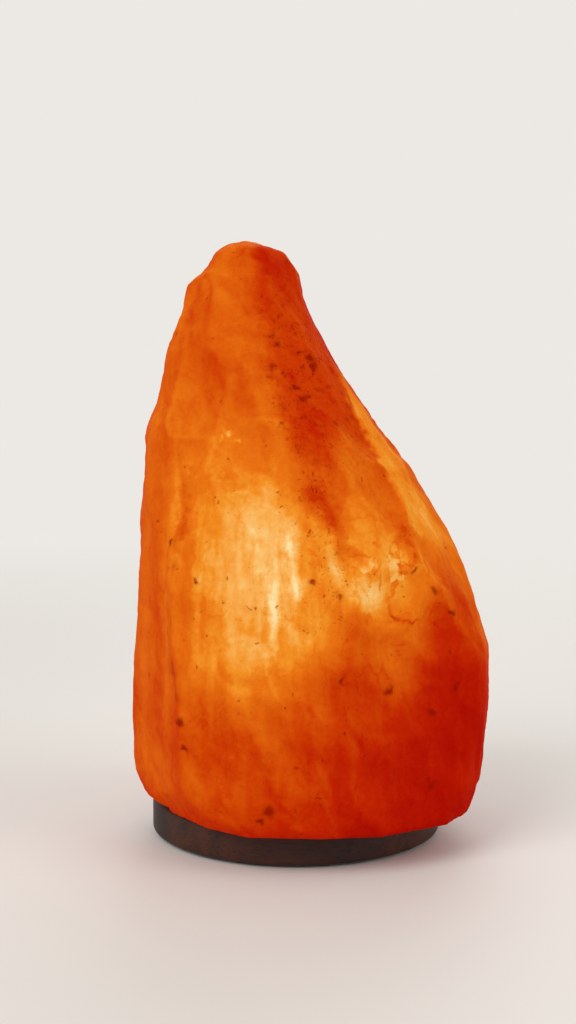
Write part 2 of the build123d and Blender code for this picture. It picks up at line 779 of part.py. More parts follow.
wire_radius = filament_wire_diameter / 2
ring_start = -90 + math.degrees(filament_gap)
ring_plane = Plane.XY.offset(filament_height + lead_diameter / 2 + wire_radius)
with BuildPart() as bulb_filament:
    with BuildLine(ring_plane) as filament_path:
        CenterArc((0, 0), filament_radius, ring_start, filament_arc)
    with BuildSketch(Plane(filament_path.line @ 0, z_dir=filament_path.line % 0)):
        Circle(wire_radius)
    sweep(path=filament_path.line)
bulb_filament.part.label = "bulb_filament"
export_step(bulb_filament.part, "parts/bulb_filament.step")

support_reach = filament_radius
support_end = filament_height + lead_diameter / 2 - support_diameter / 2
with BuildPart() as filament_supports:
    for support in range(support_count):
        support_angle = 90 + (support - (support_count - 1) / 2) * filament_arc / (support_count + 1)
        across = math.cos(math.radians(support_angle))
        along = math.sin(math.radians(support_angle))
        with BuildLine() as support_path:
            Polyline(
                (button_radius * across / 2, button_radius * along / 2, button_height),
                (support_reach * across, support_reach * along, support_end),
            )
        with BuildSketch(Plane(support_path.line @ 0, z_dir=support_path.line % 0)):
            Circle(support_diameter / 2)
        sweep(path=support_path.line)
    with Locations((0, 0, button_height)):
        Sphere(button_radius, mode=Mode.SUBTRACT)
filament_supports.part.label = "filament_supports"
export_step(filament_supports.part, "parts/filament_supports.step")
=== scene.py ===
"""The lit salt crystal lamp: a hewn lump of orange rock salt on a low turned base, with its small
holder and bulb in the bore. Metres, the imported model's own frame, seen from -Y."""
import math
import random

import bmesh
import bpy
import numpy as np
from mathutils import Matrix, Vector, noise


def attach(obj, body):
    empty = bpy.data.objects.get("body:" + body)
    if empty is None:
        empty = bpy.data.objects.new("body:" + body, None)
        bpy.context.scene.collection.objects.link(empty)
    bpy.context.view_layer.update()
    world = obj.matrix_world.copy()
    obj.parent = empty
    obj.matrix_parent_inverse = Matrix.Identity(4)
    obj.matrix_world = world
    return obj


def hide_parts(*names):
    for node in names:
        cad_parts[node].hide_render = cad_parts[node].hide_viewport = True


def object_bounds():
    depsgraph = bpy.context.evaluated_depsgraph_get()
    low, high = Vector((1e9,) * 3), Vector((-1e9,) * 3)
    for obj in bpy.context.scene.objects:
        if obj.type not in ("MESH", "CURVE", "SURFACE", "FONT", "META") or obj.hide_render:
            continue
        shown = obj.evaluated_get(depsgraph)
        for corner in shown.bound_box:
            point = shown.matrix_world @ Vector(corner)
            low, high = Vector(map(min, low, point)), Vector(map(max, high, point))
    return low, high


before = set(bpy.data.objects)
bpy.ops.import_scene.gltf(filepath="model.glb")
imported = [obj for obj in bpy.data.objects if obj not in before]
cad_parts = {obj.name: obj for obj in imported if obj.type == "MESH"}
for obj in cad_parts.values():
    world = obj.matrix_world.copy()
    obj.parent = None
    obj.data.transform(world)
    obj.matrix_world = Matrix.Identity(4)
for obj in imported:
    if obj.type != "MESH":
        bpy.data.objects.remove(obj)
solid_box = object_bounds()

# ---------------------------------------------------------------- camera
# A phone held half a metre in front of the lamp, a little above its middle and tilted down.
camera_sight = bpy.data.cameras.new("photograph")
camera_sight.sensor_fit = "VERTICAL"
camera_sight.sensor_height = 24.0
camera_sight.lens = 31.64
camera_sight.clip_start = 0.01
camera = bpy.data.objects.new("photograph", camera_sight)
camera.location = (-0.0029, -0.493, 0.14137)
camera.rotation_euler = (math.radians(90 - 2.95), 0, 0)
bpy.context.scene.collection.objects.link(camera)
bpy.context.scene.camera = camera


# ---------------------------------------------------------------- salt crystal
# One hewn lump of rock salt, sawn flat underneath and bored from below with a core drill. Iron
# stains it red in bands, and the bulb in the bore makes it glow where it is thin and clear.
def mm(*values):
    """Millimetres, as metres."""
    return tuple(value / 1000 for value in values)


def smooth_step(values, low, high):
    share = np.clip((values - low) / (high - low), 0.0, 1.0)
    return share * share * (3 - 2 * share)


def evaluated_mesh(piece):
    """The mesh of a piece with its modifiers applied."""
    depsgraph = bpy.context.evaluated_depsgraph_get()
    return bpy.data.meshes.new_from_object(piece.evaluated_get(depsgraph)).copy()


def link_piece(name, mesh):
    piece = bpy.data.objects.new(name, mesh)
    bpy.context.scene.collection.objects.link(piece)
    return piece


def even_skin(node, name, cell):
    """A copy of a solid's surface in even quads of one size."""
    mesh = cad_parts[node].data.copy()
    cleaned = bmesh.new()
    cleaned.from_mesh(mesh)
    bmesh.ops.remove_doubles(cleaned, verts=cleaned.verts, dist=2e-6)
    cleaned.to_mesh(mesh)
    cleaned.free()
    rough = link_piece(name + "_rough", mesh)
    remesh = rough.modifiers.new("even", "REMESH")
    remesh.mode = "VOXEL"
    remesh.voxel_size = cell
    skin = evaluated_mesh(rough)
    bpy.data.objects.remove(rough)
    return link_piece(name, skin)


bore_radius = 24.0
bore_end = 121.85
saw_cut = 13.0
anchor_circle = 38.5
anchor_places = [
    (anchor_circle * math.cos(math.radians(angle)), anchor_circle * math.sin(math.radians(angle)))
    for angle in (30, 150, 270)
]
skin_cell = 0.00103
salt_crystal = even_skin("salt_crystal", "hewn_salt", skin_cell)
mesh = salt_crystal.data
count = len(mesh.vertices)
points = np.empty(count * 3)
mesh.vertices.foreach_get("co", points)
points = points.reshape(-1, 3) * 1000
edges = np.empty(len(mesh.edges) * 2, int)
mesh.edges.foreach_get("vertices", edges)
edges = edges.reshape(-1, 2)
neighbours = np.bincount(edges.ravel(), minlength=count)


def surface_normals():
    mesh.vertices.foreach_set("co", (points / 1000).ravel())
    mesh.update()
    found = np.empty(count * 3)
    mesh.vertices.foreach_get("normal", found)
    return found.reshape(-1, 3)


def relax(share, rounds):
    """Moves each point towards the middle of its neighbours."""
    global points
    for _ in range(rounds):
        middle = np.empty_like(points)
        for axis in range(3):
            middle[:, axis] = np.bincount(edges[:, 0], points[edges[:, 1], axis], count)
            middle[:, axis] += np.bincount(edges[:, 1], points[edges[:, 0], axis], count)
        middle /= neighbours[:, None]
        points = points + share[:, None] * (middle - points)


# What the saw and the drills left stays as it is: the foot, the bore and the plug holes.
normals = surface_normals()
from_axis = np.hypot(points[:, 0], points[:, 1])
hewn = smooth_step(from_axis, bore_radius + 0.4, bore_radius + 2.0)
hewn[points[:, 2] > bore_end + 1.5] = 1.0
hewn[(points[:, 2] < saw_cut + 0.6) & (normals[:, 2] < -0.9)] = 0.0
hole_edge = 4.8
hole_end = 38
for across, along in anchor_places:
    near_hole = np.hypot(points[:, 0] - across, points[:, 1] - along) < hole_edge
    hewn[near_hole & (points[:, 2] < hole_end)] = 0.0
relax(hewn * 0.6, 5)

# The lump's own unevenness: broad swells, smaller knocks, flutes down the crystal's grain, and
# creases between the blows of the chisel. Each has its depth in mm.
swell_depth = 0.35
knock_depth = 0.3
flute_depth = 0.26
crease_depth = 0.4
normals = surface_normals()
depth = np.zeros(count)
for index in np.nonzero(hewn > 0)[0]:
    spot = Vector(points[index])
    swell = noise.fractal(spot / 30, 1.0, 2.0, 3)
    knock = noise.fractal(spot / 9 + Vector((7, 3, 1)), 0.8, 2.1, 3)
    flute = noise.noise(Vector((spot.x / 3.6, spot.y / 3.6, spot.z / 34)))
    crease = 1 - abs(noise.noise(spot / 21 + Vector((3, 9, 4)))) * 7
    depth[index] = swell_depth * swell + knock_depth * knock + flute_depth * flute
    depth[index] += crease_depth * max(crease, 0)
points -= normals * (depth * hewn)[:, None]


def strike(place, rim, deep):
    """Knocks a shallow shell-shaped flake out of the surface: its place, rim radius and depth in
    mm. No point is pushed in more than a tenth past that depth."""
    global points
    deepest = 1.1 * deep
    nearest = np.argmin(((points - place) ** 2).sum(1) + 1e6 * (hewn < 0.5))
    ball = (rim * rim + deep * deep) / (2 * deep)
    centre = points[nearest] + normals[nearest] * (ball - deep)
    away = points - centre
    distance = np.sqrt((away**2).sum(1))
    struck = (distance < ball) & (hewn > 0.5)
    push = np.minimum(ball - distance[struck], deepest)
    points[struck] += away[struck] * (push / distance[struck])[:, None]


# Flakes seen in the photograph: below the right slope, along both outlines and at the knob. Each
# has its place, rim radius and depth in mm.
for place, rim, deep in (
    ((38, -48, 89), 8.0, 1.4),
    ((36, -46, 104), 5.5, 1.1),
    ((24, -55, 97), 5.0, 1.1),
    ((17, -55, 103), 4.0, 0.8),
    ((14, -61, 78), 6.0, 0.8),
    ((31, -53, 74), 5.0, 0.8),
    ((40, -50, 64), 7.0, 0.9),
    ((50, -40, 78), 6.0, 0.9),
    ((31, -40, 122), 6.0, 1.0),
    ((40, -34, 113), 5.0, 1.0),
    ((24, -30, 140), 7.0, 0.8),
    ((22, -20, 156), 5.0, 0.6),
    ((34, -12, 141), 6.0, 0.5),
    ((50, -14, 115), 6.0, 0.7),
    ((57, -18, 99), 6.5, 0.9),
    ((63, -20, 82), 6.0, 0.9),
    ((-54, -5, 148), 5.0, 1.0),
    ((-46, -6, 166), 6.0, 1.1),
    ((-38, -6, 184), 6.0, 1.0),
    ((-57, -10, 122), 6.0, 0.8),
    ((-33, -32, 163), 8.0, 0.9),
    ((-22, -43, 139), 9.0, 0.7),
    ((-14, -15, 205), 6.0, 0.8),
    ((-3, -11, 203), 5.0, 0.9),
    ((20, -60, 34), 9.0, 0.8),
    ((-28, -58, 40), 8.0, 0.7),
):
    strike(place, rim, deep)
    normals = surface_normals()

# Small chips in a row down the right outline and the upper left one.
chisel = random.Random(11)
for path, chips in (
    (
        ((12, -2, 178), (22, -5, 162), (35, -8, 140), (50, -14, 115), (61, -20, 90), (65, -22, 74)),
        30,
    ),
    (((-30, -6, 200), (-40, -6, 180), (-50, -6, 160), (-56, -6, 142)), 14),
):
    for step in range(chips):
        share = (step + chisel.random()) / chips * (len(path) - 1)
        before, after = path[int(share)], path[int(share) + 1]
        spot = Vector(before).lerp(Vector(after), share % 1)
        spot.y += chisel.uniform(-3, 3)
        strike(spot, chisel.uniform(2.4, 4.2), chisel.uniform(0.3, 0.7))

# Small flakes all over, as the chisel leaves them, and a fine roughness on top.
outside = np.nonzero(hewn > 0.99)[0]
small_flakes = 170
fine_depth = 0.14
for _ in range(small_flakes):
    spot = points[outside[chisel.randrange(len(outside))]]
    rim = chisel.uniform(2.4, 7.5)
    strike(spot, rim, rim * chisel.uniform(0.05, 0.12))
normals = surface_normals()
fine = np.zeros(count)
for index in outside:
    fine[index] = noise.fractal(Vector(points[index]) / 3.2, 0.7, 2.0, 2)
points -= normals * (fine * fine_depth)[:, None]
relax(hewn * 0.2, 1)

# Nothing stands past the solids' box or below the saw cut.
box_margin = 0.05
lowest = np.array(solid_box[0]) * 1000 + box_margin
highest = np.array(solid_box[1]) * 1000 - box_margin
outer = hewn > 0
points[outer] = np.clip(points[outer], lowest, highest)
points[outer, 2] = np.maximum(points[outer, 2], saw_cut)
surface_normals()
mesh.shade_smooth()


class Shade:
    """One output among a material's nodes. Sums, products and powers of it add Math nodes."""

    def __init__(self, tree, socket=None):
        self.tree = tree
        self.socket = socket

    def node(self, kind, settings=(), values=(), output=0):
        """Adds any node: its settings first, then the values or links of its sockets."""
        added = self.tree.nodes.new("ShaderNode" + kind)
        for name, value in dict(settings).items():
            if name == "stops":
                stops = added.color_ramp.elements
                stops[0].position = value[0][0]
                stops[1].position = value[-1][0]
                for place, _ in value[1:-1]:
                    stops.new(place)
                for stop, (_, tint) in zip(stops, value):
                    stop.color = tint
            else:
                setattr(added, name, value)
        for name, value in dict(values).items():
            if isinstance(value, Shade):
                self.tree.links.new(value.socket, added.inputs[name])
            else:
                added.inputs[name].default_value = value
        return Shade(self.tree, added.outputs[output] if added.outputs else None)

    def sum_of(self, operation, *values):
        return self.node("Math", {"operation": operation}, dict(enumerate(values)))

    def __add__(self, other):
        return self.sum_of("ADD", self, other)

    def __sub__(self, other):
        return self.sum_of("SUBTRACT", self, other)

    def __rsub__(self, other):
        return self.sum_of("SUBTRACT", other, self)

    def __mul__(self, other):
        return self.sum_of("MULTIPLY", self, other)

    def __rpow__(self, other):
        return self.sum_of("POWER", other, self)

    __radd__ = __add__
    __rmul__ = __mul__


def colour(red, green, blue):
    """A colour as a photo editor shows it, 0 to 255, as the light values that a shader takes."""
    parts = [value / 255 for value in (red, green, blue)]
    parts = [v / 12.92 if v <= 0.04045 else ((v + 0.055) / 1.055) ** 2.4 for v in parts]
    return (*parts, 1.0)


def new_material(name):
    material = bpy.data.materials.new(name)
    material.use_nodes = True
    material.node_tree.nodes.clear()
    start = Shade(material.node_tree)
    return material, start, start.node("TexCoord", output="Object")


def vector_sum(operation, first, second, output=0):
    start = first if isinstance(first, Shade) else second
    return start.node("VectorMath", {"operation": operation}, {0: first, 1: second}, output)


def clouds(place, size, detail=2.0, stretch=(1, 1, 1), output=0):
    """Soft noise around 0.5, with blobs of one size in mm, stretched along an axis if asked."""
    near = vector_sum("MULTIPLY", place, [1000 / size / part for part in stretch])
    return near.node("TexNoise", {}, {"Vector": near, "Scale": 1.0, "Detail": detail}, output)


def rise(value, low, high):
    """0 below low, 1 above high and smooth between them."""
    values = {"Value": value, "From Min": low, "From Max": high}
    return value.node("MapRange", {"interpolation_type": "SMOOTHSTEP"}, values)


def lobe(place, centre, reach):
    """1 at centre, fading out over reach, both (x, y, z) in mm."""
    away = vector_sum("DIVIDE", vector_sum("SUBTRACT", place, mm(*centre)), mm(*reach))
    return math.e ** (0 - vector_sum("DOT_PRODUCT", away, away, "Value"))


def streak(place, start, end, width):
    """1 on a line between two points, fading out over its width, in mm."""
    run = Vector(mm(*end)) - Vector(mm(*start))
    away = vector_sum("SUBTRACT", place, mm(*start))
    along = vector_sum("DOT_PRODUCT", away, tuple(run / run.length_squared), "Value")
    along = along.node("Clamp", {}, {"Value": along})
    foot = along.node("VectorMath", {"operation": "SCALE"}, {0: tuple(run), "Scale": along})
    away = vector_sum("DIVIDE", vector_sum("SUBTRACT", away, foot), mm(width, width, width))
    return math.e ** (0 - vector_sum("DOT_PRODUCT", away, away, "Value"))


def blend(mask, first, second):
    """The first colour where mask is 0, the second where it is 1."""
    return mask.node("Mix", {"data_type": "RGBA"}, {0: mask, 6: first, 7: second}, 2)


def close_material(start, values):
    surface = start.node("BsdfPrincipled", {}, values)
    start.node("OutputMaterial", {}, {"Surface": surface})


# Two uneven copies of the place: drift bends soft fields far, near frays lines a little.
rock_salt, start, place = new_material("lit rock salt")
wander = vector_sum("SUBTRACT", clouds(place, 14, 3.0, output="Color"), (0.5, 0.5, 0.5))
drift = vector_sum("ADD", place, vector_sum("MULTIPLY", wander, mm(13, 13, 18)))
shiver = vector_sum("SUBTRACT", clouds(place, 4, 4.0, output="Color"), (0.5, 0.5, 0.5))
near = vector_sum("ADD", place, vector_sum("MULTIPLY", shiver, mm(5, 5, 7)))


def beyond(place, start, end, edge):
    """1 to the right of a line down the front, given by (x, z) in mm, over a soft edge."""
    run = (Vector(end) - Vector(start)).normalized()
    across = vector_sum("DOT_PRODUCT", place, (-run.y, 0.0, run.x), "Value")
    line = (-run.y * start[0] + run.x * start[1]) / 1000
    return rise(across, line - edge / 1000, line + edge / 1000)


def shell_edge(place, centre, radius):
    """A thin round line, the rim of a shell-shaped flake."""
    line_sharpness = 1300
    away = vector_sum("DISTANCE", place, mm(*centre), "Value")
    off = (away - radius / 1000) * line_sharpness
    return math.e ** (0 - off * off)


def crystal_grains(place, size, stretch, feature="F1", output="Distance"):
    """Cells of one size in mm, as a random value each or as the way to their edges."""
    near = vector_sum("MULTIPLY", place, [1000 / size / part for part in stretch])
    return near.node("TexVoronoi", {"feature": feature}, {"Vector": near, "Scale": 1.0}, output)


# How brightly the bulb shows through, 0 to 1.
height = place.node("SeparateXYZ", {}, {0: place}, "Z")
along = place.node("SeparateXYZ", {}, {0: place}, "Y")
front = 1 - rise(along, -0.02, 0.012)
ridge = beyond(near, (13, 168), (32, 127), 1.1) * beyond(near, (32, 127), (50, 94), 1.4)
ridge *= rise(height, 0.09, 0.112) * (1 - rise(height, 0.158, 0.172))
red_band = beyond(drift, (-14, 210), (-1, 132), 5.5) * rise(height, 0.118, 0.15) * (1 - ridge)
red_corner = beyond(drift, (1, 88), (17, 20), 9.0) * (1 - rise(height, 0.055, 0.082))
hot = lobe(near, (-5, -57, 96), (15, 30, 30))
field = lobe(drift, (-12, -56, 101), (35, 50, 40))
# Behind, the glow runs round the crystal at the bulb's height.
around = rise(along, -0.002, 0.022) * lobe(near, (0, 4, 92), (66, 66, 38))
glow = 0.46 + 0.25 * field + 0.04 * hot + 0.42 * around
glow += front * (0.15 * ridge - 0.19 * red_band - 0.1 * red_corner)
glow += 0.3 * (hot + 0.9 * around) * (clouds(place, 2.8, 3.0, (1, 1, 9)) - 0.5)
# Bright fibres, veins and dull seams: both ends and the width in mm, and how much they add.
for ends, width, gain in (
    (((-14, -54, 114), (-12, -56, 99)), 1.6, 0.1),
    (((-7, -58, 100), (-8, -60, 72)), 1.8, 0.17),
    (((-3, -55, 112), (0, -57, 92)), 1.8, 0.2),
    (((-19, -56, 108), (-22, -58, 75)), 3.4, 0.04),
    (((-27, -55, 112), (-29, -57, 66)), 5.0, 0.05),
    (((-20, -61, 62), (1, -66, 30)), 3.6, 0.08),
    (((-6, -62, 60), (8, -66, 34)), 2.4, 0.06),
    (((18, -55, 102), (24, -56, 94)), 3.0, 0.06),
    (((7, 0, 184), (50, -8, 112)), 4.0, -0.08),
    (((52, -24, 100), (60, -30, 84)), 7.0, -0.12),
    (((6, -49, 124), (13, -52, 117)), 4.0, -0.24),
    (((13, -52, 117), (17, -56, 97)), 2.6, -0.2),
    (((7, 0, 206), (9, -4, 176)), 6.0, -0.12),
    (((-38, -40, 124), (-39, -42, 111)), 2.4, -0.26),
    (((-43, -40, 106), (-44, -43, 62)), 1.3, -0.1),
    (((-38, -42, 112), (-38, -49, 68)), 3.5, -0.06),
    (((-50, -24, 150), (-56, -22, 30)), 6.0, 0.1),
    (((22, -40, 124), (36, -42, 112)), 4.4, -0.18),
    (((47, -36, 110), (60, -34, 84)), 5.0, -0.14),
    (((-44, -40, 118), (-46, -42, 45)), 3.0, 0.08),
):
    glow += gain * streak(near, *ends, width)
# Clear and cloudy places: centre and reach in mm, and how much they add.
for centre, reach, gain in (
    ((25, -55, 91), (4.5, 20, 4), 0.13),
    ((19, -56, 97), (6, 20, 6), 0.12),
    ((23, -57, 81), (8, 20, 6), -0.11),
    ((10, -62, 68), (7, 20, 8), -0.08),
    ((33, -50, 97), (15, 25, 22), 0.13),
    ((39, -47, 90), (5, 12, 5), 0.06),
    ((46, -43, 82), (7, 16, 14), -0.08),
    ((-11, -50, 121), (9, 20, 11), 0.08),
    ((-36, -42, 120), (9, 20, 12), 0.06),
    ((-14, -45, 104), (12, 20, 12), 0.02),
    ((7, -50, 121), (9, 20, 8), -0.12),
    ((-4, -20, 188), (26, 30, 34), -0.16),
    ((-20, -28, 178), (16, 25, 24), -0.08),
    ((-42, -32, 147), (11, 18, 10), -0.12),
    ((20, -60, 69), (9, 20, 13), -0.15),
    ((9, -38, 147), (6, 20, 9), -0.11),
    ((-1, -42, 139), (5, 20, 12), -0.06),
    ((30, -53, 97), (8, 20, 6), 0.12),
    ((-38, -44, 24), (20, 25, 13), 0.15),
    ((-27, -56, 15), (17, 25, 7), 0.1),
    ((-42, -40, 121), (5, 18, 9), 0.08),
    ((-12, -62, 70), (22, 25, 12), 0.09),
    ((-50, -30, 32), (14, 25, 18), 0.1),
    ((-23, -43, 145), (1.0, 9, 0.9), 0.24),
    ((-20, -44, 142), (0.8, 9, 0.9), 0.18),
    ((-25, -44, 143), (0.7, 9, 0.9), 0.14),
    ((-18, -47, 125), (2.4, 9, 0.8), 0.12),
    ((-10, -12, 212), (26, 25, 12), -0.13),
    ((-9, -14, 204), (10, 16, 9), -0.14),
    ((-14, -16, 207), (2.2, 9, 2.4), -0.12),
    ((47, -48, 42), (34, 40, 34), -0.11),
    ((60, -34, 70), (16, 25, 20), -0.1),
    ((36, -51, 66), (12, 20, 12), 0.08),
    ((48, -46, 69), (9, 16, 10), -0.12),
    ((-52, -24, 92), (8, 26, 60), -0.05),
    ((0, 54, 98), (28, 30, 34), 0.08),
    ((6, 56, 94), (12, 25, 18), 0.12),
    ((-60, 10, 92), (16, 24, 36), 0.08),
    ((64, 12, 70), (20, 26, 30), 0.1),
):
    glow += gain * lobe(near, centre, reach)
# Painted shade along the rims of the two large flakes at the right, only on the lower left side of the
# larger one.
lower_left = 1 - beyond(near, (29, 97), (47, 82), 2.0)
painted_rim_shade = lower_left * shell_edge(near, (38, -48, 89), 8) + 0.7 * shell_edge(near, (36, -46, 105), 5)
glow += -0.2 * painted_rim_shade * rise(clouds(place, 4, 2.0), 0.36, 0.6)
# The clear heart's upright left edge, and two slanting veils below it.
low = rise(height, 0.055, 0.075)
heart_height = low * (1 - rise(height, 0.115, 0.13))
glow += 0.08 * beyond(near, (-33, 124), (-36, 58), 0.9) * heart_height * front
veil = beyond(near, (-20, 62), (-6, 27), 0.9) - beyond(near, (-5, 58), (8, 29), 0.9)
glow += 0.05 * veil * (1 - low) * front
# The thick foot lets less light out.
glow += -0.12 * (1 - rise(height, 0.035, 0.066)) - 0.08 * (1 - rise(height, 0.013, 0.034))
# Mineral grains, cracks between them and the fine grain that stands upright in the salt.
grains = crystal_grains(drift, 11, (1, 1, 2.4), "SMOOTH_F1", "Color")
glow += 0.1 * (grains.node("SeparateColor", {}, {0: grains}) - 0.5)
crack = crystal_grains(near, 8, (1, 1, 1.5), "DISTANCE_TO_EDGE")
shattered = lobe(near, (32, -50, 92), (20, 26, 20)) + 0.3
shattered *= rise(clouds(drift, 12, 2.0), 0.46, 0.6)
glow += -0.13 * shattered * (1 - rise(crack, 0.0, 0.07))
facets = crystal_grains(near, 6, (1, 1, 1.5), output="Color")
facets = facets.node("SeparateColor", {}, {0: facets})
glow += 0.34 * lobe(near, (29, -52, 94), (13, 22, 11)) * (facets - 0.45)
glow += 0.14 * (clouds(near, 26, 2.0) - 0.5) + 0.15 * (clouds(near, 8, 4.0) - 0.5)
glow += (0.05 + 0.09 * field) * (clouds(place, 2.4, 2.0, (1, 1, 12)) - 0.5)
glow += 0.12 * (clouds(place, 1.5, 3.0) - 0.5)
# Painted light and shade: faces that look up or to the right are painted brighter, the others darker, as
# if lit from one side.
facing = start.node("TexCoord", output="Normal")
outward = vector_sum("NORMALIZE", vector_sum("MULTIPLY", place, (1.0, 1.0, 0.0)), (0, 0, 0))
painted_shade_tilt = vector_sum("SUBTRACT", facing, outward)
glow += 0.32 * vector_sum("DOT_PRODUCT", painted_shade_tilt, (0.7, 0, 0.5), "Value")
# Iron stains on the sides that the photograph doesn't show.
stains = rise(clouds(drift, 34, 2.0, (1, 1, 1.8)), 0.54, 0.62)
glow += -0.2 * stains * (1 - front)
salt_colour = glow.node(
    "ValToRGB",
    {
        "stops": [
            (0.0, colour(170, 12, 0)),
            (0.12, colour(183, 22, 2)),
            (0.25, colour(196, 38, 2)),
            (0.38, colour(208, 65, 4)),
            (0.52, colour(222, 94, 12)),
            (0.66, colour(235, 117, 20)),
            (0.76, colour(244, 147, 38)),
            (0.86, colour(251, 178, 86)),
            (0.94, colour(253, 198, 118)),
            (1.0, colour(255, 226, 165)),
        ]
    },
    {0: glow},
)
# Dark specks and iron veins in the salt: centre and size in mm.
specks = 0.0
for centre, size in (
    ((30, -55, 60), 1.5),
    ((46, -46, 51), 1.6),
    ((-9, -65, 22), 1.8),
    ((-12, -65, 19), 1.1),
    ((-39, -52, 49), 1.4),
    ((-37, -52, 41), 1.0),
    ((-8, -26, 178), 1.1),
    ((-7, -27, 175), 1.2),
    ((1, -26, 172), 1.3),
    ((5, -26, 170), 1.5),
    ((6, -27, 167), 1.3),
    ((-8, -30, 167), 1.3),
    ((-9, -32, 163), 1.0),
    ((-1, -33, 160), 1.2),
    ((2, -34, 156), 1.5),
    ((-4, -35, 153), 1.2),
    ((-5, -38, 147), 1.0),
    ((-9, -24, 200), 1.0),
    ((39, -44, 99), 1.0),
    ((46, -40, 92), 1.2),
    ((52, -38, 84), 1.0),
    ((54, -42, 59), 1.0),
    ((45, -50, 27), 1.3),
    ((14, -61, 64), 1.0),
    ((-42, -42, 108), 0.9),
    ((-33, -50, 96), 0.8),
    ((14, -57, 91), 1.0),
    ((5, -58, 96), 0.9),
):
    specks += 1.3 * lobe(near, centre, (size, 4, 0.9 * size))
specks += 0.6 * streak(drift, (-42, -44, 69), (-40, -49, 56), 1.0)
specks += 0.35 * streak(drift, (-40, -42, 112), (-41, -44, 76), 1.2)
rust = red_band + 0.8 * streak(near, (6, -49, 124), (13, -54, 106), 5)
specks += 0.5 * rust * rise(clouds(near, 2.4, 3.0), 0.56, 0.68)
vein = streak(near, (-4, -30, 180), (10, -58, 84), 10)
kept = rise(clouds(place, 7, 2.0) + 0.14 * vein, 0.54, 0.64)
specks += 0.8 * kept * (1 - rise(crystal_grains(near, 3.2, (1, 1, 1)), 0.06, 0.24))
kept = vein * rise(clouds(place, 5, 2.0), 0.42, 0.56)
specks += 0.6 * kept * (1 - rise(crystal_grains(near, 1.5, (1, 1, 1)), 0.12, 0.36))
speck_cover = specks.node("Clamp", {}, {0: specks}) * 0.85
salt_colour = blend(speck_cover, salt_colour, colour(140, 16, 0))
# The salt both shines and reflects, so its colour is shared out between the two.
body_share = 0.4
glow_share = 0.56
body_colour = start.node("VectorMath", {"operation": "SCALE"}, {0: salt_colour, "Scale": body_share})
grain = clouds(place, 1.1, 3.0) + 0.8 * clouds(place, 1.6, 2.0, (1, 1, 12))
relief = start.node("Bump", {}, {"Strength": 0.5, "Distance": 0.0006, "Height": grain})
close_material(
    start,
    {
        "Base Color": body_colour,
        "Roughness": 0.42 + 0.3 * clouds(place, 6, 2.0),
        "Specular IOR Level": 0.004,
        "Emission Color": salt_colour,
        "Emission Strength": glow_share,
        "Normal": relief,
    },
)
mesh.materials.clear()
mesh.materials.append(rock_salt)
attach(salt_crystal, "lamp")
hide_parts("salt_crystal")


# ---------------------------------------------------------------- wooden base
# A disc turned from dark-stained wood, wider than the bore and narrower than the salt. The lead
# lies in a groove across its underside, and three countersunk holes take the screws.
def arc_corner(before, corner, after, radius):
    """Five points that round a corner of an outline."""
    before, corner, after = Vector(before), Vector(corner), Vector(after)
    back = (before - corner).normalized()
    ahead = (after - corner).normalized()
    half = back.angle(ahead) / 2
    reach = min(radius / math.tan(half), (before - corner).length / 2, (after - corner).length / 2)
    radius = reach * math.tan(half)
    centre = corner + (back + ahead).normalized() * (radius / math.sin(half))
    first, last = corner + back * reach - centre, corner + ahead * reach - centre
    turn = first.angle_signed(last)
    rounded = []
    for step in range(5):
        angle = turn * step / 4
        across = first.x * math.cos(angle) + first.y * math.sin(angle)
        up = centre.y - first.x * math.sin(angle) + first.y * math.cos(angle)
        rounded.append((centre.x + across, up))
    return rounded


def softened(outline):
    """An outline of (radius, height, rounding) in mm, with its corners rounded."""
    result = []
    for index, (across, height, rounding) in enumerate(outline):
        if rounding:
            before = outline[index - 1][:2]
            after = outline[(index + 1) % len(outline)][:2]
            result += arc_corner(before, (across, height), after, rounding)
        else:
            result.append((across, height))
    return result


def turned(name, outline, facets=96, wave=None, gap=0.0):
    """A closed outline of (radius, height) in mm, turned about the lamp's axis. wave gives the
    radius at an angle, and gap is the half width of an opening towards +Y."""
    shape = bmesh.new()
    rings = []
    columns = facets + 1 if gap else facets
    for across, height in outline:
        ring = []
        for column in range(columns):
            if gap:
                slack = math.asin(min(1.0, gap / max(across, gap)))
                angle = math.pi / 2 + slack + (2 * math.pi - 2 * slack) * column / facets
            else:
                angle = 2 * math.pi * column / facets
            radius = wave(angle, across, height) if wave else across
            ring.append(shape.verts.new(mm(radius * math.cos(angle), radius * math.sin(angle), height)))
        rings.append(ring)
    for ring, following in zip(rings, rings[1:] + rings[:1]):
        for column in range(facets):
            beside = (column + 1) % columns
            shape.faces.new((ring[column], ring[beside], following[beside], following[column]))
    if gap:
        shape.faces.new([ring[0] for ring in rings])
        shape.faces.new([ring[-1] for ring in reversed(rings)])
    return finish_shape(name, shape)


def finish_shape(name, shape):
    """Closes seams, points the faces outwards and shades all but the sharp edges smooth."""
    bmesh.ops.remove_doubles(shape, verts=shape.verts, dist=1e-6)
    bmesh.ops.dissolve_degenerate(shape, edges=shape.edges, dist=1e-7)
    bmesh.ops.recalc_face_normals(shape, faces=shape.faces)
    mesh = bpy.data.meshes.new(name)
    shape.to_mesh(mesh)
    shape.free()
    mesh.shade_smooth()
    mesh.set_sharp_from_angle(angle=math.radians(38))
    return link_piece(name, mesh)


def cut(piece, tool):
    """Cuts a tool's shape out of a piece and throws the tool away."""
    step = piece.modifiers.new("cut", "BOOLEAN")
    step.operation = "DIFFERENCE"
    step.solver = "EXACT"
    step.object = tool
    mesh = evaluated_mesh(piece)
    piece.modifiers.clear()
    piece.data = mesh
    bpy.data.objects.remove(tool)
    mesh.shade_smooth()
    mesh.set_sharp_from_angle(angle=math.radians(32))


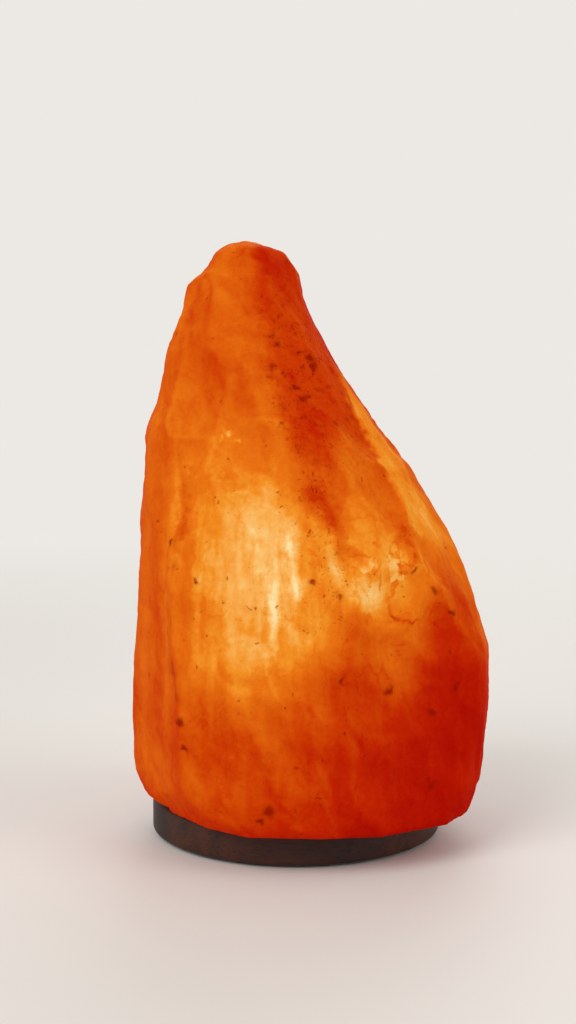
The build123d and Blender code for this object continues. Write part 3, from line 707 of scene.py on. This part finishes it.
def dress(piece, material, body, node):
    """Gives a piece its material and its body, and hides the solid that it stands for."""
    piece.data.materials.clear()
    piece.data.materials.append(material)
    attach(piece, body)
    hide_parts(node)


def block(name, low, high):
    """A plain box to cut with, between two corners in mm."""
    shape = bmesh.new()
    bmesh.ops.create_cube(shape, size=1.0)
    for vert in shape.verts:
        vert.co = mm(*[a + (b - a) * (c + 0.5) for a, b, c in zip(low, high, vert.co)])
    return finish_shape(name, shape)


board_radius = 52.5
felt_thickness = 1
board_outline = [
    (bore_radius, felt_thickness, 0.4),
    (board_radius, felt_thickness, 1.5),
    (board_radius, saw_cut, 2.5),
    (bore_radius, saw_cut, 0.3),
]
wooden_base = turned("turned_base", softened(board_outline), 160)
groove_half = 4.5
groove_top = 8.5
cut(wooden_base, block("lead_groove", (-groove_half, 23, 0), (groove_half, 60, groove_top)))
head_room = 4.45
shank_room = 2.25
hole_outline = [(0, 0), (head_room + 1, 0), (head_room, 1)]
hole_outline += [(shank_room, 3.2), (shank_room, 14), (0, 14)]
for across, along in anchor_places:
    hole = turned("screw_hole", hole_outline, 40)
    hole.data.transform(Matrix.Translation(mm(across, along, 0)))
    cut(wooden_base, hole)

base_wood, start, place = new_material("dark stained wood")
board = vector_sum("MULTIPLY", place, (9.0, 100.0, 60.0))
rings = start.node("TexNoise", {}, {"Vector": board, "Scale": 1.0, "Detail": 4.0, "Distortion": 0.6})
pores = clouds(place, 0.7, 2.0, (16, 1, 1))
wood_colour = rings.node(
    "ValToRGB",
    {
        "stops": [
            (0.3, colour(24, 9, 5)),
            (0.46, colour(48, 20, 10)),
            (0.6, colour(68, 31, 15)),
            (0.78, colour(38, 15, 8)),
        ]
    },
    {0: rings},
)
wood_colour = blend(rise(pores, 0.56, 0.7) * 0.6, wood_colour, colour(16, 8, 4))
surface = pores + 0.6 * rings
relief = start.node("Bump", {}, {"Strength": 0.35, "Distance": 0.0003, "Height": surface})
close_material(
    start,
    {
        "Base Color": wood_colour,
        "Roughness": 0.55 + 0.25 * pores,
        "Specular IOR Level": 0.3,
        "Coat Weight": 0.03 + 0.08 * clouds(place, 18),
        "Coat Roughness": 0.25,
        "Normal": relief,
    },
)
dress(wooden_base, base_wood, "lamp", "wooden_base")


# ---------------------------------------------------------------- felt ring
# Felt a millimetre thick, cut to a ring and glued under the board, open over the lead's groove.
def fuzzy(angle, radius, height):
    """The felt's cut edge, a little frayed."""
    spot = Vector((radius * math.cos(angle), radius * math.sin(angle), height * 3))
    return radius + 0.22 * noise.fractal(spot / 1.6, 0.8, 2.0, 2)


felt_inner = 32.8
felt_outer = 48.2
felt_outline = [
    (felt_inner, 0.02, 0.35),
    (felt_outer, 0.02, 0.35),
    (felt_outer, felt_thickness, 0.2),
    (felt_inner, felt_thickness, 0.2),
]
felt_ring = turned("felt_pad", softened(felt_outline), 300, fuzzy, groove_half + 0.1)


def speckled(name, first, second, size, rough, relief_size, relief_depth, stretch=(1, 1, 1), **rest):
    """A material with two tones in soft patches, uneven gloss and a fine relief."""
    material, start, place = new_material(name)
    patches = clouds(place, size, 3.0, stretch)
    fine = clouds(place, relief_size, 3.0, stretch)
    values = {
        "Base Color": blend(rise(0.7 * patches + 0.3 * fine, 0.36, 0.64), first, second),
        "Roughness": rough[0] + (rough[1] - rough[0]) * patches,
        "Normal": start.node(
            "Bump", {}, {"Strength": 0.6, "Distance": relief_depth / 1000, "Height": fine}
        ),
    }
    values.update({key.replace("_", " "): value for key, value in rest.items()})
    close_material(start, values)
    return material


felt = speckled(
    "black felt", colour(20, 18, 17), colour(52, 47, 44), 1.2, (0.9, 1.0), 0.35, 0.5, Sheen_Weight=0.4
)
dress(felt_ring, felt, "lamp", "felt_ring")


# ---------------------------------------------------------------- base screws and anchors
# Three zinc-plated slotted wood screws hold the board to ribbed nylon plugs set in the salt.
screw_pitch = 1.8
screw_thread_depth = 0.32


def screw_wave(angle, radius, height):
    """A wood screw's thread above its plain shank."""
    if height < 16 or radius < 1.2:
        return radius
    turn = math.pi * (height / screw_pitch - angle / (2 * math.pi))
    return radius - screw_thread_depth * (1 - abs(math.sin(turn)))


screw_outline = [(0, 1.45), (3.6, 1.45), (3.78, 1.6), (2.0, 3.3)]
screw_outline += [(1.98, 3.3 + 0.225 * step) for step in range(1, 107)]
screw_outline += [(1.5, 28.4), (0.8, 29.2), (0, 29.35)]
plug_bore = 2.15
plug_waist = 3.15
plug_rib = 3.45
base_screws = []
screw_anchors = []
for index, (across, along) in enumerate(anchor_places):
    screw = turned("base_screw_%d" % (index + 1), screw_outline, 32, screw_wave)
    turn = math.radians(25 + 50 * index)
    slot_cutter = block("slot", (-5, -0.5, 0), (5, 0.5, 2.45))
    slot_cutter.data.transform(Matrix.Rotation(turn, 4, "Z"))
    cut(screw, slot_cutter)
    screw.data.transform(Matrix.Translation(mm(across, along, 0)))
    base_screws.append(screw)
    ribs = [(plug_bore, 13.02), (plug_rib, 13.02)]
    for rib in range(9):
        low = 13.8 + 2.0 * rib
        ribs += [(plug_rib, low), (plug_waist, low + 0.4), (plug_waist, low + 1.2), (plug_rib, low + 1.7)]
    ribs += [(3.3, 32.6), (2.9, 32.95), (plug_bore, 32.95)]
    plug = turned("screw_plug_%d" % (index + 1), ribs, 40)
    cut(plug, block("plug_slit", (0, -0.5, 18), (5, 0.5, 40)))
    plug.data.transform(Matrix.Translation(mm(across, along, 0)))
    screw_anchors.append(plug)

zinc_steel = speckled(
    "zinc plate",
    colour(168, 166, 160),
    colour(196, 190, 172),
    4,
    (0.28, 0.42),
    0.8,
    0.05,
    Metallic=1.0,
)
anchor_nylon = speckled(
    "grey nylon", colour(122, 124, 126), colour(150, 151, 150), 5, (0.5, 0.6), 0.6, 0.08
)
for screw in base_screws:
    dress(screw, zinc_steel, "lamp", "base_screws")
for plug in screw_anchors:
    dress(plug, anchor_nylon, "lamp", "screw_anchors")


# ---------------------------------------------------------------- cord gland
# A black nylon gland in the holder's cap: hexagonal nut, flanged body and a rubber seal.
nut_flat = 6.5


def hexagon(angle, radius, height):
    """Six flats on the outside of the nut, its bore left round."""
    if radius < 6.2:
        return radius
    flat = nut_flat / math.cos((angle % (math.pi / 3)) - math.pi / 6)
    return min(radius, flat)


gland_nut = turned(
    "gland_hexagon_nut",
    softened(
        [
            (3.85, 16.0, 0.3),
            (6.3, 16.0, 0.25),
            (7.45, 16.7, 0.2),
            (7.45, 21.4, 0.2),
            (6.3, 21.95, 0.2),
            (5.6, 21.95, 0),
            (5.6, 17.5, 0.1),
            (3.85, 17.5, 0.1),
        ]
    ),
    144,
    hexagon,
)


gland_pitch = 1.5


def gland_thread(angle, radius, height):
    """The thread that the nut screws on."""
    if radius < 5.3 or height > 21.6:
        return radius
    return radius - 0.3 * abs(math.sin(math.pi * (height / gland_pitch - angle / (2 * math.pi))))


gland_body = turned(
    "gland_body_threaded",
    [(4.5, 17.65)]
    + [(5.48, 17.65 + 0.17 * step) for step in range(24)]
    + softened([(5.48, 22.0, 0), (6.95, 22.0, 0.3), (6.95, 24.0, 0.3), (4.88, 24.0, 0)])
    + softened([(4.88, 30.0, 0.3), (3.85, 30.0, 0.2), (3.85, 24.05, 0), (4.5, 24.05, 0)]),
    96,
    gland_thread,
)
gland_seal = turned(
    "gland_rubber_seal",
    softened([(3.3, 17.55, 0.4), (4.38, 17.55, 0.1), (4.38, 23.98, 0.1), (3.3, 23.98, 0.4)]),
    72,
)
gland_nylon = speckled(
    "black nylon", colour(19, 19, 20), colour(33, 33, 34), 7, (0.42, 0.55), 0.5, 0.06
)
seal_rubber = speckled(
    "seal rubber", colour(14, 14, 14), colour(30, 29, 28), 3, (0.7, 0.85), 0.4, 0.1
)
dress(gland_nut, gland_nylon, "lampholder", "gland_nut")
dress(gland_body, gland_nylon, "lampholder", "gland_body")
dress(gland_seal, seal_rubber, "lampholder", "gland_seal")


# ---------------------------------------------------------------- holder cap and sleeve
# The moulded black housing of the holder, in two halves that screw together. The sleeve carries
# the flange for the clip and the fine thread for the ring nut, and its rim guides the bulb.
grip_top = 37.2
grip_depth = 0.45


def cap_grip(angle, radius, height):
    """Eighteen shallow finger grooves round the lower half of the cap."""
    if radius < 12.3 or height > grip_top:
        return radius
    groove = max(0.0, math.cos(angle * 18)) ** 2
    return radius - grip_depth * groove * min(1.0, (grip_top - height) / 1.5)


cap_outline = [(5.02, 24.05), (8.6, 24.05)]
cap_outline += [
    (9 + 4.45 * math.sin(math.radians(step * 7.5)), 36 - 11.95 * math.cos(math.radians(step * 7.5)))
    for step in range(0, 13)
]
cap_outline += [(13.45, 35.9), (11.58, 35.95), (11.58, 39.45), (9.85, 39.45)]
cap_outline += [(9.85, 36.0), (7.25, 26.5), (5.02, 26.5)]
holder_cap = turned("holder_cap_moulded", cap_outline, 216, cap_grip)

barrel_pitch = 1.5
barrel_low = 57.9
barrel_top = 74.5
barrel_thread_depth = 0.42


def barrel_thread(angle, radius, height):
    """The fine thread round the sleeve that the ring nut runs on."""
    if not barrel_low < height < barrel_top or radius < 12:
        return radius
    fade = min(1.0, (height - barrel_low) / 1.2, (barrel_top - height) / 1.2)
    wave = 0.5 + 0.5 * math.cos(2 * math.pi * (height / barrel_pitch - angle / (2 * math.pi)))
    return radius - barrel_thread_depth * fade * wave


sleeve_outline = softened([(11.72, 36.05, 0), (13.45, 36.05, 0.3), (13.45, 50.1, 0)])
sleeve_flange = [(13.45, 50.1, 0.3), (15.45, 50.1, 0.3), (15.45, 52.08, 0.3), (12.48, 52.08, 0)]
sleeve_outline += softened(sleeve_flange)[1:]
sleeve_outline += [(12.48, 52.3 + 0.19 * step) for step in range(122)]
sleeve_rim = [(12.45, 75.98, 0.6), (9.25, 75.98, 0.6), (9.25, 49.55, 0), (11.72, 49.55, 0)]
sleeve_outline += softened(sleeve_rim)
holder_sleeve = turned("holder_sleeve_threaded", sleeve_outline, 144, barrel_thread)

black_moulding = speckled(
    "black moulding",
    colour(17, 16, 16),
    colour(34, 31, 29),
    9,
    (0.24, 0.4),
    0.45,
    0.03,
    Coat_Weight=0.2,
)
dress(holder_cap, black_moulding, "lampholder", "holder_cap")
dress(holder_sleeve, black_moulding, "lampholder", "holder_sleeve")


# ---------------------------------------------------------------- porcelain and contacts
# A glazed porcelain core carries the thin brass screw shell, the strips to both terminals and the
# sprung tongue under the bulb's tip. The solids have their shapes; the shell gets its thread.
def finish_node(node, material):
    """A solid that keeps its shape gets its material."""
    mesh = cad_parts[node].data
    mesh.materials.clear()
    mesh.materials.append(material)


porcelain = speckled(
    "glazed porcelain",
    colour(222, 217, 205),
    colour(238, 235, 226),
    4,
    (0.12, 0.3),
    1.5,
    0.05,
    Coat_Weight=0.5,
)
contact_brass = speckled(
    "rolled brass", colour(181, 142, 74), colour(222, 186, 112), 3, (0.22, 0.4), 0.6, 0.04, Metallic=1.0
)
finish_node("porcelain_core", porcelain)
for node in ("shell_contact", "centre_contact", "terminal_blocks", "terminal_screws"):
    finish_node(node, contact_brass)

bulb_pitch = 2.82
thread_start = 57.0


def round_thread(height, angle):
    """1 on the crest of the bulb's round thread, 0 in its root."""
    turns = (height - thread_start) / bulb_pitch - 0.5 - angle / (2 * math.pi)
    return 0.5 + 0.5 * math.cos(2 * math.pi * turns)


shell_low = 53
shell_top = 69.5
shell_thread_depth = 0.4


def shell_wave(angle, radius, height):
    """The round thread rolled into the holder's brass shell."""
    if not shell_low < height < shell_top or radius < 7:
        return radius
    fade = min(1.0, (height - shell_low) / 1.5, (shell_top - height) / 1.5)
    return radius - shell_thread_depth * fade * (1 - round_thread(height, angle))


shell_outline = [(5.75, 49.55), (7.7, 49.55)]
shell_outline += [(7.7, 50.0 + 0.235 * step) for step in range(86)]
shell_outline += [(7.35, 70.0 - 0.235 * step) for step in range(84)]
shell_outline += [(7.3, 50.0), (5.75, 50.0)]
screw_shell = turned("screw_shell_threaded", shell_outline, 96, shell_wave)
dress(screw_shell, contact_brass, "lampholder", "screw_shell")


# ---------------------------------------------------------------- retaining clip and ring nut
# A spring steel star with three curled prongs that grip the bore, held down by a ribbed ring nut.
spring_steel = speckled(
    "blued spring steel",
    colour(92, 94, 100),
    colour(138, 140, 146),
    5,
    (0.24, 0.4),
    0.5,
    0.03,
    (1, 1, 6),
    Metallic=1.0,
)
finish_node("retaining_clip", spring_steel)


def ribs_of_nut(angle, radius, height):
    """Twenty-four finger grooves round the nut."""
    if radius < 15 or not 53.3 < height < 57.6:
        return radius
    return radius - 0.75 * max(0.0, math.cos(angle * 24)) ** 3


ring_nut = turned(
    "ribbed_ring_nut",
    softened([(12.65, 52.95, 0.3), (15.1, 52.95, 0.3), (15.95, 53.5, 0), (15.95, 53.8, 0)])
    + softened([(15.95, 57.2, 0), (15.95, 57.4, 0), (15.2, 57.88, 0.3), (12.65, 57.88, 0.3)]),
    288,
    ribs_of_nut,
)
dress(ring_nut, black_moulding, "lampholder", "ring_nut")


# ---------------------------------------------------------------- bulb cap
# The bulb's plated screw cap, with a lump of solder on the black glass disc that closes it.
cap_thread_low = 58.0
cap_thread_top = 70.6
cap_thread_depth = 0.72


def cap_wave(angle, radius, height):
    """The round thread rolled into the bulb's cap."""
    if not cap_thread_low < height < cap_thread_top or radius < 5.9:
        return radius
    fade = min(1.0, (height - cap_thread_low) / 1.2, (cap_thread_top - height) / 1.2)
    return radius + cap_thread_depth * fade * round_thread(height, angle)


cap_shell = [(5.75, 57.05), (6.1, 57.05)]
cap_shell += [(6.145, 57.2 + 0.188 * step) for step in range(1, 81)]
cap_shell += softened([(6.2, 72.5, 0), (8.45, 74.3, 0.5), (8.45, 77.95, 0.15), (8.15, 77.95, 0.1)])
cap_shell += [(8.15, 75.3), (5.8, 72.6)]
bulb_cap = turned("bulb_cap_threaded", cap_shell, 96, cap_wave)
cap_metal = speckled(
    "nickel plate", colour(176, 172, 162), colour(206, 201, 190), 3, (0.2, 0.36), 0.5, 0.04, Metallic=1.0
)
dress(bulb_cap, cap_metal, "bulb", "bulb_cap")


def lumpy(angle, radius, height):
    """A drop of solder is never quite round."""
    spot = Vector((math.cos(angle), math.sin(angle), height))
    return radius * (1 + 0.05 * noise.noise(spot * 1.3))


bulb_contact = turned(
    "solder_tip",
    softened([(0, 52.82, 0), (1.3, 52.84, 1.0), (2.3, 53.3, 0.5), (2.35, 53.98, 0.1), (0, 53.98, 0)]),
    48,
    lumpy,
)
solder = speckled(
    "solder", colour(150, 150, 148), colour(190, 189, 184), 1.5, (0.25, 0.5), 0.7, 0.15, Metallic=1.0
)
dress(bulb_contact, solder, "bulb_foot", "bulb_contact")
bulb_insulator = turned(
    "black_glass_disc",
    softened([(0, 54.02, 0), (4.75, 54.02, 0.4), (5.9, 56.6, 0.5), (6.1, 56.98, 0.1), (0, 56.98, 0)]),
    72,
)
black_glass = speckled(
    "black glass", colour(12, 10, 18), colour(30, 24, 40), 3, (0.06, 0.16), 1.2, 0.05, Coat_Weight=0.6
)
dress(bulb_insulator, black_glass, "bulb", "bulb_insulator")


# ---------------------------------------------------------------- bulb glass
# A clear blown globe with a long neck that is cemented into the cap, less than a millimetre thick.
globe_radius = 12.98
globe_centre = 96.8
neck_radius = 7.28
glass_wall = 0.78


def blown(inset):
    """The globe's outline from its crown down to its neck, inset for the inner face."""
    globe = globe_radius - inset
    neck = neck_radius - inset
    shoulder = math.radians(24)
    outline = []
    for step in range(20):
        angle = math.radians(step * 6)
        outline.append((globe * math.sin(angle), globe_centre + globe * math.cos(angle)))
    wide, low = globe * math.cos(shoulder), globe_centre - globe * math.sin(shoulder)
    bottom = low - (wide - neck) / math.tan(shoulder)
    outline += arc_corner((wide, low), (neck, bottom), (neck, 75.0), 9.0)
    return outline + [(neck, 74.42)]


bulb_glass = turned("blown_globe", blown(0) + blown(glass_wall)[::-1], 96)


def clear(name, tint, size):
    """Thin glass: what is behind shows through, and the gloss grows towards the edges."""
    material, start, place = new_material(name)
    haze = clouds(place, size, 3.0)
    through = start.node("BsdfTransparent", {}, {"Color": tint})
    relief = start.node("Bump", {}, {"Strength": 0.2, "Distance": 0.0002, "Height": haze})
    skin = blend(haze, tint, colour(228, 232, 232))
    gloss = start.node(
        "BsdfPrincipled", {}, {"Base Color": skin, "Roughness": 0.02 + 0.1 * haze, "Normal": relief}
    )
    edge = start.node("Fresnel", {}, {"IOR": 1.45})
    mixed = start.node("MixShader", {}, {0: 0.8 * edge + 0.05 * haze, 1: through, 2: gloss})
    start.node("OutputMaterial", {}, {"Surface": mixed})
    return material


dress(bulb_glass, clear("clear glass", colour(251, 253, 252), 7), "bulb", "bulb_glass")


# ---------------------------------------------------------------- stem, leads and filament
# A glass stem closes the neck and is pinched flat round the nickel leads. The coiled filament
# hangs in an arc between them on three hooked wires from the glass button.
stem = softened(
    [
        (0, 74.5, 0),
        (6.4, 74.5, 0.2),
        (6.4, 75.3, 0.2),
        (3.0, 76.8, 1.5),
        (2.4, 80.5, 1.0),
        (2.45, 88.3, 0.6),
        (0.85, 88.5, 0.4),
        (0.78, 91.8, 0.3),
        (1.65, 93.4, 0.9),
        (0.0, 95.0, 0),
    ]
)


def pinched(angle, radius, height):
    """Flattens the top of the stem, where the leads are sealed in."""
    if not 81 < height < 88.45 or radius > 2.6:
        return radius
    share = min(1.0, (height - 81) / 4)
    return radius * (1 - 0.38 * share * abs(math.sin(angle)) ** 1.5)


bulb_stem = turned("glass_stem", stem, 64, pinched)
dress(bulb_stem, clear("stem glass", colour(240, 245, 242), 4), "bulb", "bulb_stem")


def wires(name, paths, thickness, sides=3):
    """Round wire along each path of points in mm."""
    curve = bpy.data.curves.new(name, "CURVE")
    curve.dimensions = "3D"
    curve.bevel_depth = thickness / 2000
    curve.bevel_resolution = sides
    curve.use_fill_caps = True
    for path in paths:
        spline = curve.splines.new("POLY")
        spline.points.add(len(path) - 1)
        for point, place in zip(spline.points, path):
            point.co = (*mm(*place), 1.0)
    bent = link_piece(name + "_line", curve)
    mesh = evaluated_mesh(bent)
    bpy.data.objects.remove(bent)
    mesh.shade_smooth()
    return link_piece(name, mesh)


filament_height = 96.95
filament_radius = 7
gap_half = math.radians(55)
end_x, end_y = filament_radius * math.sin(gap_half), -filament_radius * math.cos(gap_half)
lead_paths = []
for side in (-1, 1):
    bend = [(side * 1.9, 0, 88.45), (side * 1.95, -0.1, 89.4)]
    for step in range(1, 10):
        share = step / 9
        bow = 0.35 * math.sin(math.pi * share)
        out = side * (1.95 + (end_x - 1.95) * share + bow)
        bend.append((out, -0.1 + (end_y + 0.1) * share, 89.4 + 7.2 * share))
    lead_paths.append(bend)
bulb_leads = wires("nickel_leads", lead_paths, 0.55)
nickel_wire = speckled(
    "nickel wire", colour(150, 146, 138), colour(186, 181, 170), 1.5, (0.25, 0.42), 0.3, 0.03, Metallic=1.0
)
dress(bulb_leads, nickel_wire, "bulb", "bulb_leads")

coil = []
coil_radius = 0.16
coil_turns = 110
for step in range(coil_turns * 10 + 1):
    share = step / (coil_turns * 10)
    angle = -math.pi / 2 + gap_half + (2 * math.pi - 2 * gap_half) * share
    twist = 2 * math.pi * coil_turns * share
    radius = filament_radius + coil_radius * math.cos(twist)
    up = filament_height + coil_radius * math.sin(twist)
    coil.append((radius * math.cos(angle), radius * math.sin(angle), up))
bulb_filament = wires("coiled_filament", [coil], 0.13, 1)
filament_tungsten, start, place = new_material("glowing tungsten")
heat = clouds(place, 2.5)
close_material(
    start,
    {
        "Base Color": blend(heat, colour(120, 110, 96), colour(150, 140, 126)),
        "Roughness": 0.3 + 0.2 * heat,
        "Emission Color": blend(heat, colour(255, 190, 96), colour(255, 222, 150)),
        "Emission Strength": 14.0,
    },
)
dress(bulb_filament, filament_tungsten, "bulb", "bulb_filament")

support_paths = []
hook_radius = 0.34
for turn in (27.5, 90, 152.5):
    across, along = math.cos(math.radians(turn)), math.sin(math.radians(turn))
    path = [(across * 1.3, along * 1.3, 93.6)]
    for step in range(1, 7):
        share = step / 6
        reach = 1.3 + 5.5 * share
        path.append((across * reach, along * reach, 93.6 + 3.0 * share**1.25))
    for step in range(7):
        angle = math.radians(-90 + 38 * step)
        reach = filament_radius + hook_radius * math.cos(angle)
        up = filament_height + hook_radius * math.sin(angle)
        path.append((across * reach, along * reach, up))
    support_paths.append(path)
filament_supports = wires("hooked_supports", support_paths, 0.16, 2)
dress(filament_supports, nickel_wire, "bulb", "filament_supports")


# ---------------------------------------------------------------- floor and light
# A pale floor that fades into a pale room, and soft light from the left, the right and behind.
room = colour(236, 233, 228)
floor_radius = 5
corners = 64
floor_mesh = bpy.data.meshes.new("floor")
floor_edge = []
for corner in range(corners):
    angle = corner * 2 * math.pi / corners
    floor_edge.append((floor_radius * math.cos(angle), floor_radius * math.sin(angle), 0.0))
floor_mesh.from_pydata(floor_edge, [], [tuple(range(corners))])
floor = link_piece("floor", floor_mesh)
pale_floor, start, place = new_material("pale floor")
lit = start.node("BsdfPrincipled", {}, {"Base Color": colour(226, 222, 216), "Roughness": 0.6})
away = vector_sum("LENGTH", place, (0, 0, 0), "Value")
shown = start.node("Emission", {}, {"Color": room, "Strength": 1.0})
mixed = start.node("MixShader", {}, {0: rise(away, 0.3, 1.5), 1: lit, 2: shown})
start.node("OutputMaterial", {}, {"Surface": mixed})
floor_mesh.materials.append(pale_floor)

world = bpy.data.worlds.new("room")
bpy.context.scene.world = world
world.use_nodes = True
world.node_tree.nodes.clear()
start = Shade(world.node_tree)
path = start.node("LightPath", output="Is Camera Ray")
for seen in ("Is Glossy Ray", "Is Transmission Ray"):
    path += start.node("LightPath", output=seen)
path = path.node("Clamp", {}, {0: path})
lamps = start.node("Background", {}, {"Color": (1.0, 0.99, 0.97, 1.0), "Strength": 0.5})
seen = start.node("Background", {}, {"Color": room, "Strength": 1.0})
start.node("OutputWorld", {}, {"Surface": start.node("MixShader", {}, {0: path, 1: lamps, 2: seen})})

for name, spot, power in (
    ("key", (-1.1, -1.2, 1.3), 22.0),
    ("fill", (1.4, -0.7, 0.9), 9.0),
    ("back", (0.3, 1.6, 1.2), 9.0),
):
    light = bpy.data.lights.new(name, "AREA")
    light.shape = "SQUARE"
    light.size = 1.3
    light.energy = power
    lamp = bpy.data.objects.new(name, light)
    lamp.location = spot
    lamp.rotation_euler = (Vector((0, 0, 0.1)) - Vector(spot)).to_track_quat("-Z", "Y").to_euler()
    bpy.context.scene.collection.objects.link(lamp)
bpy.context.scene.view_settings.view_transform = "Standard"
